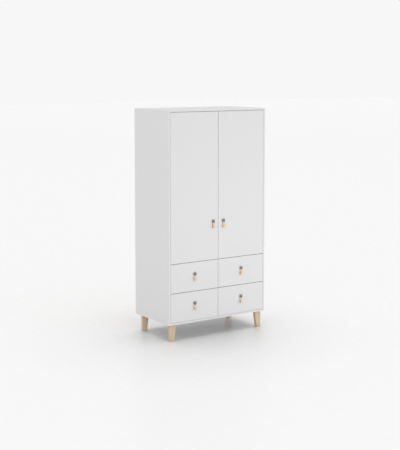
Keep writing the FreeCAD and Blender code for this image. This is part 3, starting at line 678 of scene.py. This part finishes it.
def strapSection(width, thickness):
    # closed outline of the strap's section: (across, out of the leather's face, how near a cut edge)
    fillet = min(strapShape["edgeRound"], thickness / 2 * strapShape["mostRound"])
    halfWidth = width / 2
    halfThick = thickness / 2
    points = []
    for sideUp in (1, -1):
        flat = halfWidth - fillet
        count = strapShape["acrossSteps"]
        for step in range(count + 1):
            share = step / count
            across = (flat - 2 * flat * share) * sideUp
            crown = strapShape["crown"] * (1 - (across / halfWidth) ** 2)
            points.append((across, (halfThick - strapShape["crown"] + crown) * sideUp, 0.0))
        for step in range(1, strapShape["edgeSteps"] * 2):
            turn = math.pi / 2 + math.pi * step / (strapShape["edgeSteps"] * 2)
            across = -flat + fillet * math.cos(turn)
            upward = math.sin(turn)
            level = (halfThick - fillet) * (1 if upward > 0 else -1) + fillet * upward
            points.append((across * sideUp, level * sideUp, 1.0))
    return points


def skinStrap(work, rings, section, distances, uvLayer):
    # faces between the rings, mapped in metres along the strap and around it
    count = len(section)
    around = [0.0]
    for step in range(count):
        first, second = section[step], section[(step + 1) % count]
        around.append(around[-1] + math.hypot(first[0] - second[0], first[1] - second[1]))
    for index in range(len(rings) - 1):
        for step in range(count):
            after = (step + 1) % count
            face = work.faces.new((rings[index][step], rings[index][after],
                                   rings[index + 1][after], rings[index + 1][step]))
            spots = ((distances[index], around[step]), (distances[index], around[step + 1]),
                     (distances[index + 1], around[step + 1]), (distances[index + 1], around[step]))
            for loop, spot in zip(face.loops, spots):
                loop[uvLayer].uv = spot


def capStrap(work, rings, edgeLayer, uvLayer):
    # a fan of triangles over each cut end
    for ring, order in ((rings[0], 1), (rings[-1], -1)):
        count = len(ring)
        middle = work.verts.new(sum((vertex.co for vertex in ring), Vector()) / count)
        middle[edgeLayer] = 1.0
        for step in range(count):
            after = (step + 1) % count
            face = work.faces.new((ring[step], ring[after], middle)[::order])
            for loop in face.loops:
                loop[uvLayer].uv = (loop.vert.co.x, loop.vert.co.y)


def makeLoop(front, seed):
    # the strap's section, swept down the back leaf, round the fold and up the front leaf
    low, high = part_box(ownerNode("pull_strap", front))
    buttonLow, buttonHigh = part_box(ownerNode("pull_button", front))
    dice = random.Random(seed)
    centerX = (low[0] + high[0]) / 2
    anchorZ = (buttonLow[2] + buttonHigh[2]) / 2
    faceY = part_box(boardOf(front))[0][1]
    width = high[0] - low[0]
    thickness = strapShape["thickness"]
    depth = (faceY - low[1]) * dice.uniform(*strapShape["depthShare"])
    top = high[2] - anchorZ
    bottom = low[2] - anchorZ + strapShape["foldLift"]
    path = loopPath(top, bottom, depth, thickness)
    section = strapSection(width, thickness)
    lean = dice.uniform(-strapShape["lean"], strapShape["lean"])
    phase = dice.uniform(*strapShape["waverStart"])
    work = bmesh.new()
    uvLayer = work.loops.layers.uv.new("strapMap")
    edgeLayer = work.verts.layers.float.new("cutEdge")
    fleshLayer = work.verts.layers.float.new("fleshSide")
    rings = []
    distances = [0.0]
    for index, point in enumerate(path):
        before = path[max(index - 1, 0)]
        after = path[min(index + 1, len(path) - 1)]
        along = (after - before).normalized()
        normal = Vector((along.y, -along.x))  # out of the grain side
        if index:
            distances.append(distances[-1] + (point - before).length)
        ring = []
        fromEnd = min(index, len(path) - 1 - index)
        trim = 1.0 if fromEnd > 1 else strapShape["endTrim"][fromEnd]
        wave = strapShape["waver"] * math.sin(distances[-1] * strapShape["waverTurns"] + phase)
        for across, level, edge in section:
            slide = lean * point.y
            place = point + normal * level
            vertex = work.verts.new((centerX + across * trim + slide + wave * edge,
                                     faceY - max(place.x, strapShape["boardGap"]), anchorZ + place.y))
            vertex[edgeLayer] = edge
            vertex[fleshLayer] = 1.0 if level > 0 and edge == 0.0 else 0.0
            ring.append(vertex)
        rings.append(ring)
    skinStrap(work, rings, section, distances, uvLayer)
    capStrap(work, rings, edgeLayer, uvLayer)
    bmesh.ops.recalc_face_normals(work, faces=work.faces)
    mesh = bpy.data.meshes.new(f"pullLoop_{front}")
    work.to_mesh(mesh)
    work.free()
    item = linkObject(f"pullLoop_{front}", mesh, leather)
    for polygon in item.data.polygons:
        polygon.use_smooth = True
    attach(item, front)
    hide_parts(ownerNode("pull_strap", front))


for index, front in enumerate(fronts):
    makeButton(front)
    makeLoop(front, strapShape["firstSeed"] + index)
print("six pulls")


def newTree(name, numbers):
    tree = bpy.data.node_groups.new(name, "GeometryNodeTree")
    tree.interface.new_socket("Geometry", in_out="INPUT", socket_type="NodeSocketGeometry")
    for label, value in numbers.items():
        socket = tree.interface.new_socket(label, in_out="INPUT", socket_type="NodeSocketFloat")
        socket.default_value = value
    tree.interface.new_socket("Finish", in_out="INPUT", socket_type="NodeSocketMaterial")
    tree.interface.new_socket("Geometry", in_out="OUTPUT", socket_type="NodeSocketGeometry")
    return tree, tree.nodes.new("NodeGroupInput"), tree.nodes.new("NodeGroupOutput")


def outwardTurn(tree):
    # turns +Z of a head to the way its point faces
    facing = tree.nodes.new("GeometryNodeInputNamedAttribute")
    facing.data_type = "FLOAT_VECTOR"
    facing.inputs["Name"].default_value = "outward"
    turn = tree.nodes.new("FunctionNodeAlignRotationToVector")
    turn.axis = "Z"
    tree.links.new(facing.outputs["Attribute"], turn.inputs["Vector"])
    return turn.outputs["Rotation"]


def endTree(tree, given, result, points, head, turn):
    instances = tree.nodes.new("GeometryNodeInstanceOnPoints")
    tree.links.new(points, instances.inputs["Points"])
    tree.links.new(head, instances.inputs["Instance"])
    tree.links.new(turn, instances.inputs["Rotation"])
    realize = tree.nodes.new("GeometryNodeRealizeInstances")
    tree.links.new(instances.outputs["Instances"], realize.inputs["Geometry"])
    paint = tree.nodes.new("GeometryNodeSetMaterial")
    tree.links.new(realize.outputs["Geometry"], paint.inputs["Geometry"])
    tree.links.new(given.outputs["Finish"], paint.inputs["Material"])
    tree.links.new(paint.outputs["Geometry"], result.inputs["Geometry"])


# sizes of a screw head, unless the screw's own differ
headSizes = {
    "Radius": 0.004,
    "Height": 0.0025,
    "Skirt": 0.6,
    "Rounding": 0.7,
    "Recess Reach": 0.0024,
    "Recess Width": 0.0009,
    "Recess Depth": 0.0012,
}


def carveCross(tree, sizes, head):
    # two bars cut a cross recess into the crown
    carve = tree.nodes.new("GeometryNodeMeshBoolean")
    carve.operation = "DIFFERENCE"
    carve.solver = "EXACT"
    tree.links.new(head, carve.inputs["Mesh 1"])
    for lengthwise, crosswise in (("X", "Y"), ("Y", "X")):
        extent = tree.nodes.new("ShaderNodeCombineXYZ")
        tree.links.new(calc(tree, "MULTIPLY", sizes["Recess Reach"], 2.0), extent.inputs[lengthwise])
        tree.links.new(sizes["Recess Width"], extent.inputs[crosswise])
        tree.links.new(calc(tree, "MULTIPLY", sizes["Recess Depth"], 2.0), extent.inputs["Z"])
        bar = tree.nodes.new("GeometryNodeMeshCube")
        tree.links.new(extent.outputs["Vector"], bar.inputs["Size"])
        lift = tree.nodes.new("ShaderNodeCombineXYZ")
        tree.links.new(sizes["Height"], lift.inputs["Z"])
        raised = tree.nodes.new("GeometryNodeTransform")
        tree.links.new(bar.outputs["Mesh"], raised.inputs["Geometry"])
        tree.links.new(lift.outputs["Vector"], raised.inputs["Translation"])
        tree.links.new(raised.outputs["Geometry"], carve.inputs["Mesh 2"])
    return carve.outputs["Mesh"]


def makeHeadTree(name, corners, rings, crossed):
    # pan head: straight skirt, rounded crown and, where crossed, a cross recess
    tree, given, result = newTree(name, headSizes)
    sizes = given.outputs
    blank = tree.nodes.new("GeometryNodeMeshCylinder")
    blank.fill_type = "NGON"
    blank.inputs["Vertices"].default_value = corners
    blank.inputs["Side Segments"].default_value = rings
    tree.links.new(sizes["Radius"], blank.inputs["Radius"])
    tree.links.new(sizes["Height"], blank.inputs["Depth"])
    position = tree.nodes.new("GeometryNodeInputPosition").outputs["Position"]
    spot = addNode(tree, "ShaderNodeSeparateXYZ", Vector=position)
    level = calc(tree, "ADD", calc(tree, "DIVIDE", spot.outputs["Z"], sizes["Height"]), 0.5)
    rise = calc(tree, "DIVIDE", calc(tree, "SUBTRACT", level, sizes["Skirt"]),
                calc(tree, "SUBTRACT", 1.0, sizes["Skirt"]))
    rise = calc(tree, "MAXIMUM", rise, 0.0)
    drop = calc(tree, "MULTIPLY", calc(tree, "MULTIPLY", rise, rise), sizes["Rounding"])
    shrink = calc(tree, "SQRT", calc(tree, "SUBTRACT", 1.0, drop))
    moved = tree.nodes.new("ShaderNodeCombineXYZ")
    tree.links.new(calc(tree, "MULTIPLY", spot.outputs["X"], shrink), moved.inputs["X"])
    tree.links.new(calc(tree, "MULTIPLY", spot.outputs["Y"], shrink), moved.inputs["Y"])
    tree.links.new(calc(tree, "MULTIPLY", level, sizes["Height"]), moved.inputs["Z"])
    shaped = tree.nodes.new("GeometryNodeSetPosition")
    tree.links.new(blank.outputs["Mesh"], shaped.inputs["Geometry"])
    tree.links.new(moved.outputs["Vector"], shaped.inputs["Position"])
    head = shaped.outputs["Geometry"]
    if crossed:
        head = carveCross(tree, sizes, head)
    endTree(tree, given, result, given.outputs["Geometry"], head, outwardTurn(tree))
    return tree


backNails = {
    "Spacing": 0.105,
    "Radius": 0.0021,
    "Height": 0.0006,
    "topShare": 0.62,          # of the radius, at the top of the flattened head
    "corners": 12,
    "edge": 0.0045,
    "stripClear": 0.012,
    "endGap": 0.05,
    "footGap": 0.07,
}


def makeNailTree():
    # flat nail heads at an even spacing along the given lines, all facing backwards
    numbers = {label: backNails[label] for label in ("Spacing", "Radius", "Height")}
    tree, given, result = newTree("nailRow", numbers)
    line = tree.nodes.new("GeometryNodeMeshToCurve")
    tree.links.new(given.outputs["Geometry"], line.inputs["Mesh"])
    spaced = tree.nodes.new("GeometryNodeResampleCurve")
    spaced.mode = "LENGTH"
    tree.links.new(line.outputs["Curve"], spaced.inputs["Curve"])
    tree.links.new(given.outputs["Spacing"], spaced.inputs["Length"])
    head = tree.nodes.new("GeometryNodeMeshCone")
    head.fill_type = "NGON"
    head.inputs["Vertices"].default_value = backNails["corners"]
    tree.links.new(given.outputs["Radius"], head.inputs["Radius Bottom"])
    narrow = calc(tree, "MULTIPLY", given.outputs["Radius"], backNails["topShare"])
    tree.links.new(narrow, head.inputs["Radius Top"])
    tree.links.new(given.outputs["Height"], head.inputs["Depth"])
    turn = tree.nodes.new("FunctionNodeEulerToRotation")
    turn.inputs[0].default_value = (-math.pi / 2, 0, 0)
    endTree(tree, given, result, spaced.outputs["Curve"], head.outputs["Mesh"], turn.outputs["Rotation"])
    return tree


headTree = makeHeadTree("crossHead", corners=24, rings=6, crossed=True)
domeTree = makeHeadTree("smoothDome", corners=20, rings=7, crossed=False)
nailTree = makeNailTree()


def runTree(name, tree, mesh, finish, numbers, body):
    # fill in the tree's inputs, keep the result as a plain mesh and hang it on its body
    item = linkObject(name, mesh)
    modifier = item.modifiers.new("repeat", "NODES")
    modifier.node_group = tree
    for socket in tree.interface.items_tree:
        if socket.in_out == "INPUT" and socket.name in numbers:
            modifier[socket.identifier] = numbers[socket.name]
        if socket.name == "Finish":
            modifier[socket.identifier] = finish
    bpy.context.view_layer.update()
    ready = item.evaluated_get(bpy.context.evaluated_depsgraph_get())
    result = bpy.data.meshes.new_from_object(ready)
    item.modifiers.clear()
    item.data = result
    result.name = name
    shadeSmooth(item, 40)
    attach(item, body)


def heads(name, tree, spots, finish, body, ownSizes):
    # each of the spots is (place, way it faces), and ownSizes replace some of headSizes
    mesh = bpy.data.meshes.new(name)
    mesh.from_pydata([tuple(place) for place, facing in spots], [], [])
    outward = mesh.attributes.new("outward", "FLOAT_VECTOR", "POINT")
    for entry, (place, facing) in zip(outward.data, spots):
        entry.vector = facing
    runTree(name, tree, mesh, finish, {**headSizes, **ownSizes}, body)


def solidBoxes(name):
    # lowest and highest corner of each separate solid in a frame part
    work = bmesh.new()
    work.from_mesh(nodes[name].data)
    bmesh.ops.remove_doubles(work, verts=work.verts, dist=1e-6)
    waiting = set(work.verts)
    boxes = []
    while waiting:
        group = [waiting.pop()]
        for vertex in group:
            for edge in vertex.link_edges:
                other = edge.other_vert(vertex)
                if other in waiting:
                    waiting.remove(other)
                    group.append(other)
        spots = [vertex.co for vertex in group]
        low = Vector([min(spot[axis] for spot in spots) for axis in range(3)])
        high = Vector([max(spot[axis] for spot in spots) for axis in range(3)])
        boxes.append((low, high))
    work.free()
    return sorted(boxes, key=lambda pair: tuple(round(part, 4) for part in pair[0]))


def inward(x):
    # the way from a point towards the middle of the wardrobe
    return (1, 0, 0) if x < 0 else (-1, 0, 0)


hingeFittings = {
    "armStart": 0.025,         # from the front plane back to the arm
    "armLength": 0.056,
    "armReach": 0.0091,        # from the side panel
    "armHalfHeight": 0.0073,
    "rounding": 0.0022,
    "plateLength": 0.038,
    "plateScrewOff": 0.0145,
    "plateWall": 0.002,
    "cupScrewOff": 0.02175,
    "adjusters": (0.013, 0.040),
    "cupPlate": 0.0008,
    "panelGap": 0.0001,
    "armSpare": 0.0005,
    "coverSteps": 4,
    "screw": {"Radius": 0.0042, "Height": 0.0026, "Skirt": 0.66},
    "adjuster": {"Radius": 0.0034, "Height": 0.0009, "Skirt": 0.4, "Recess Depth": 0.0007,
                 "Recess Reach": 0.0025},
}


def roundedBlock(work, low, high, radius, steps):
    # a box between two corners, with all its edges rounded
    made = bmesh.ops.create_cube(work, size=1.0)["verts"]
    for vertex in made:
        vertex.co = [low[axis] if vertex.co[axis] < 0 else high[axis] for axis in range(3)]
    edges = list({edge for vertex in made for edge in vertex.link_edges})
    bmesh.ops.bevel(work, geom=edges, offset=radius, segments=steps, affect="EDGES", profile=0.5)


def makeHingeFittings():
    # covers, plate screws and adjusters on the arms, and two screws in each cup
    sizes = hingeFittings
    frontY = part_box("door_left")[0][1]
    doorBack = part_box("door_left")[1][1]
    arms = solidBoxes("hinge_arms")
    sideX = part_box("side_panel_right")[0][0]
    work = bmesh.new()
    plateSpots = []
    adjusterSpots = []
    for low, high in arms:
        hand = -1 if low.x < 0 else 1
        level = (low.z + high.z) / 2
        start = frontY + sizes["armStart"]
        near, far = sideX - sizes["panelGap"], sideX - sizes["armReach"]
        edges = sorted((hand * near, hand * far))
        end = start + sizes["armLength"] + sizes["armSpare"]
        roundedBlock(work, (edges[0], start, level - sizes["armHalfHeight"]),
                     (edges[1], end, level + sizes["armHalfHeight"]), sizes["rounding"],
                     sizes["coverSteps"])
        plateY = start + sizes["armLength"] - sizes["plateLength"] / 2
        for way in (-1, 1):
            plateSpots.append(((hand * (sideX - sizes["plateWall"]), plateY,
                                level + way * sizes["plateScrewOff"]), inward(low.x)))
        for along in sizes["adjusters"]:
            adjusterSpots.append(((hand * far, start + along, level), inward(low.x)))
    bmesh.ops.recalc_face_normals(work, faces=work.faces)
    mesh = bpy.data.meshes.new("hingeArmCovers")
    work.to_mesh(mesh)
    work.free()
    covers = linkObject("hingeArmCovers", mesh, metals["nickel"])
    shadeSmooth(covers)
    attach(covers, "carcass")
    heads("hingePlateScrews", headTree, plateSpots, metals["zincPlate"], "carcass",
          sizes["screw"])
    heads("hingeAdjusters", headTree, adjusterSpots, metals["nickel"], "carcass",
          sizes["adjuster"])
    for side in sides:
        spots = []
        for low, high in solidBoxes(f"hinge_cups_{side}"):
            level = (low.z + high.z) / 2
            cupX = (low.x + high.x) / 2
            for way in (-1, 1):
                up = level + way * sizes["cupScrewOff"]
                spots.append(((cupX, doorBack + sizes["cupPlate"], up), (0, 1, 0)))
        heads(f"hingeCupScrews_{side}", headTree, spots, metals["zincPlate"], f"door_{side}",
              sizes["screw"])


makeHingeFittings()
print("hinge fittings")


runnerScrews = {
    "web": 0.0012,                   # thickness of a channel's back
    "insets": (0.036, 0.19, 0.41),   # from the front end of the channel
    "head": {"Radius": 0.0036, "Height": 0.0016, "Skirt": 0.3, "Recess Depth": 0.0008,
             "Recess Reach": 0.0019},
}
boxScrews = {
    "up": (0.018, 0.155),
    "fromBack": 0.006,
    "head": {"Radius": 0.0036, "Height": 0.0007, "Skirt": 0.2, "Recess Depth": 0.0006,
             "Recess Reach": 0.0022},
}


def makeDrawerHardware(row, side):
    # screws through the inner runner channels, and through the box's sides into its back
    body = f"{row}_drawer_{side}"
    boxLow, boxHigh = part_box(f"{row}_drawer_box_{side}")
    middleX = (boxLow[0] + boxHigh[0]) / 2
    spots = []
    for low, high in solidBoxes(f"{row}_drawer_runner_inner_{side}"):
        onLeft = high.x < middleX
        webX = low.x if onLeft else high.x
        facing = (-1, 0, 0) if onLeft else (1, 0, 0)
        for inset in runnerScrews["insets"]:
            spots.append(((webX, low.y + inset, (low.z + high.z) / 2), facing))
    heads(f"runnerScrews_{body}", headTree, spots, metals["zincPlate"], body,
          runnerScrews["head"])
    spots = []
    for up in boxScrews["up"]:
        for x, way in ((boxLow[0], -1), (boxHigh[0], 1)):
            spots.append(((x, boxHigh[1] - boxScrews["fromBack"], boxLow[2] + up), (way, 0, 0)))
    heads(f"boxScrews_{body}", headTree, spots, metals["zincPlate"], body,
          boxScrews["head"])


pullScrewHead = {
    "Radius": 0.005,
    "Height": 0.0025,
    "Skirt": 0.35,
    "Recess Reach": 0.0028,
    "Recess Width": 0.0011,
}
bumpers = {
    "fromEdge": 0.0032,
    "inset": 0.03,
    "head": {"Radius": 0.0028, "Height": 0.0022, "Skirt": 0.3, "Rounding": 0.85},
}


def makeFrontHardware(front):
    # screw of the pull behind the front, and two clear bumpers where the front meets the carcass
    boardLow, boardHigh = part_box(boardOf(front))
    buttonLow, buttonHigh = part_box(ownerNode("pull_button", front))
    middle = ((buttonLow[0] + buttonHigh[0]) / 2, boardHigh[1], (buttonLow[2] + buttonHigh[2]) / 2)
    heads(f"pullScrew_{front}", headTree, [(middle, (0, 1, 0))], metals["zincPlate"], front,
          pullScrewHead)
    edge, inset = bumpers["fromEdge"], bumpers["inset"]
    if front.startswith("door"):
        across = (boardLow[0] + inset, boardHigh[0] - inset)
        spots = [(x, boardHigh[1], boardLow[2] + edge) for x in across]
    else:
        x = boardHigh[0] - edge if boardHigh[0] < 0 else boardLow[0] + edge
        upright = (boardLow[2] + inset, boardHigh[2] - inset)
        spots = [(x, boardHigh[1], z) for z in upright]
    heads(f"bumpers_{front}", domeTree, [(spot, (0, 1, 0)) for spot in spots], clearRubber, front,
          bumpers["head"])


camFaces = {
    "Radius": 0.0074,
    "Height": 0.0006,
    "Skirt": 0.3,
    "Rounding": 0.25,
    "Recess Reach": 0.0042,
    "Recess Width": 0.0015,
    "Recess Depth": 0.0005,
}
bracketScrews = {
    "fromBack": 0.019,
    "plate": 0.002,
    "head": {"Radius": 0.0042, "Height": 0.0022},
}
socketScrews = {
    "flange": 0.003,
    "circle": 0.0175,
    "turns": (90, 210, 330),
    "head": {"Radius": 0.0021, "Height": 0.0008, "Skirt": 0.3, "Recess Reach": 0.0013,
             "Recess Width": 0.0005, "Recess Depth": 0.0005},
}


def screwOuterRunners():
    # a channel on a side panel faces the middle, and one on the partition faces away from it
    spots = []
    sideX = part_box("side_panel_right")[0][0]
    for low, high in solidBoxes("runner_outer_members"):
        onSide = abs(low.x) > sideX / 2
        facesRight = (low.x < 0) == onSide
        webX = low.x + runnerScrews["web"] if facesRight else high.x - runnerScrews["web"]
        facing = (1, 0, 0) if facesRight else (-1, 0, 0)
        for inset in runnerScrews["insets"]:
            spots.append(((webX, low.y + inset, (low.z + high.z) / 2), facing))
    heads("runnerScrews_carcass", headTree, spots, metals["zincPlate"], "carcass",
          runnerScrews["head"])


def faceCams():
    # a cam in a shelf or panel lying flat is turned from below, and one in an upright from its side
    spots = []
    radius = camFaces["Radius"]
    for low, high in solidBoxes("cam_fittings"):
        y = (low.y + high.y) / 2
        if high.x - low.x > high.z - low.z:
            x = high.x - radius if high.x < 0 else low.x + radius
            spots.append(((x, y, low.z), (0, 0, -1)))
        else:
            x = high.x if high.x < 0 else low.x
            spots.append(((x, y, low.z + radius), inward(x)))
    heads("camFaces", headTree, spots, metals["castZinc"], "carcass", camFaces)


def screwBrackets():
    spots = []
    for low, high in solidBoxes("wall_brackets"):
        y = high.y - bracketScrews["fromBack"]
        spots.append((((low.x + high.x) / 2, y, high.z - bracketScrews["plate"]), (0, 0, -1)))
    heads("bracketScrews", headTree, spots, metals["zincPlate"], "carcass",
          bracketScrews["head"])


def screwRailSockets():
    spots = []
    for low, high in solidBoxes("rail_sockets"):
        flangeX = low.x if low.x < 0 else high.x
        face = flangeX + math.copysign(socketScrews["flange"], -flangeX)
        for turn in socketScrews["turns"]:
            y = (low.y + high.y) / 2 + socketScrews["circle"] * math.cos(math.radians(turn))
            z = (low.z + high.z) / 2 + socketScrews["circle"] * math.sin(math.radians(turn))
            spots.append(((face, y, z), inward(face)))
    heads("socketScrews", headTree, spots, metals["chrome"], "carcass",
          socketScrews["head"])


def makeBackNails():
    # along the rebate, the middle shelf and the partition
    vertices = []
    edges = []
    shelfLow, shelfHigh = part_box("middle_shelf")
    shelfZ = (shelfLow[2] + shelfHigh[2]) / 2
    for side, hand in zip(sides, (-1, 1)):
        low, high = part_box(f"back_panel_{side}")
        outer, inner = (low[0], high[0]) if hand < 0 else (high[0], low[0])
        y = high[1] + backNails["Height"] / 2
        edge = backNails["edge"]
        outerX, innerX = outer - hand * edge, inner + hand * edge
        bottom, top = low[2] + edge, high[2] - edge
        stripClear = innerX + hand * backNails["stripClear"]
        shelfStart = innerX + hand * backNails["endGap"]
        shelfEnd = outerX - hand * backNails["endGap"]
        for run in ([(innerX, bottom), (outerX, bottom), (outerX, top), (stripClear, top)],
                    [(shelfStart, shelfZ), (shelfEnd, shelfZ)],
                    [(innerX, bottom + backNails["footGap"]), (innerX, shelfZ - backNails["endGap"])]):
            first = len(vertices)
            vertices += [(x, y, z) for x, z in run]
            edges += [(first + step, first + step + 1) for step in range(len(run) - 1)]
    mesh = bpy.data.meshes.new("backNails")
    mesh.from_pydata(vertices, edges, [])
    runTree("backNails", nailTree, mesh, metals["zincPlate"], backNails, "carcass")


for row in drawerRows:
    for side in sides:
        makeDrawerHardware(row, side)
for front in fronts:
    makeFrontHardware(front)
screwOuterRunners()
faceCams()
screwBrackets()
screwRailSockets()
makeBackNails()
print("screws, bumpers, cams and nails")


cameraView = {
    "place": (-5.021, -7.363, 2.262),
    "turn": 34.24,             # degrees to the right of straight ahead
    "tilt": 5.87,              # degrees down
    "lens": 92.5,
    "sensor": 36.0,
    "shiftY": -0.12,
    "farthest": 200.0,
}
lights = {
    "worldStrength": 0.93,
    "keyPlace": (1.6, -2.8, 0.4),
    "panelSize": 1.6,
    "aim": (0.0, -0.26, 0.45),
    "keyPower": 15.0,
    "sidePlace": (-1.5, -2.6, 1.1),
    "sidePower": 1.2,
    "overheadFrom": (0.1, 0.08, 1.0),
    "overheadStrength": 2.0,
    "overheadAngle": 62.0,     # degrees across: wider gives a softer shadow
}


def addLamp(name, kind, place, target, power, size):
    # size: metres across for a panel, degrees across for a glow
    lamp = bpy.data.lights.new(name, kind)
    lamp.energy = power
    if kind == "AREA":
        lamp.shape = "SQUARE"
        lamp.size = size
    else:
        lamp.angle = math.radians(size)
    item = bpy.data.objects.new(name, lamp)
    bpy.context.scene.collection.objects.link(item)
    item.location = place
    item.rotation_euler = (Vector(target) - Vector(place)).to_track_quat("-Z", "Y").to_euler()
    item.visible_camera = False
    return item


def makeFloor():
    half = floorFinish["halfSize"]
    mesh = bpy.data.meshes.new("floor")
    corners = [(-half, -half, 0), (half, -half, 0), (half, half, 0), (-half, half, 0)]
    mesh.from_pydata(corners, [], [(0, 1, 2, 3)])
    floor = linkObject("floor", mesh, makeFloorFinish("paleFloor"))
    return floor


def makeLights(floor):
    world = bpy.data.worlds.new("studio")
    bpy.context.scene.world = world
    world.use_nodes = True
    background = world.node_tree.nodes["Background"]
    background.inputs["Strength"].default_value = lights["worldStrength"]
    background.inputs["Color"].default_value = rgb(1.0, 1.0, 1.0)

    # the panels light the wardrobe and the overhead glow lights the floor, so the floor stays even
    aim, size = lights["aim"], lights["panelSize"]
    panels = [addLamp("keyPanel", "AREA", lights["keyPlace"], aim, lights["keyPower"], size),
              addLamp("sidePanel", "AREA", lights["sidePlace"], aim, lights["sidePower"], size)]
    overhead = addLamp("overheadGlow", "SUN", lights["overheadFrom"], (0, 0, 0),
                       lights["overheadStrength"], lights["overheadAngle"])
    links = (("unlitByPanels", "EXCLUDE", panels), ("litByOverhead", "INCLUDE", [overhead]))
    for name, state, lamps in links:
        receivers = bpy.data.collections.new(name)
        receivers.objects.link(floor)
        receivers.collection_objects[0].light_linking.link_state = state
        for lamp in lamps:
            lamp.light_linking.receiver_collection = receivers


def makeCamera():
    camera = bpy.data.objects.new("camera", bpy.data.cameras.new("camera"))
    bpy.context.scene.collection.objects.link(camera)
    camera.data.sensor_fit = "HORIZONTAL"
    camera.data.sensor_width = cameraView["sensor"]
    camera.data.lens = cameraView["lens"]
    camera.data.shift_y = cameraView["shiftY"]
    camera.data.clip_end = cameraView["farthest"]
    camera.location = cameraView["place"]
    camera.rotation_euler = (math.radians(90 - cameraView["tilt"]), 0, -math.radians(cameraView["turn"]))
    bpy.context.scene.camera = camera
    bpy.context.scene.view_settings.view_transform = "Standard"


makeLights(makeFloor())
makeCamera()
print("floor, lights and camera")
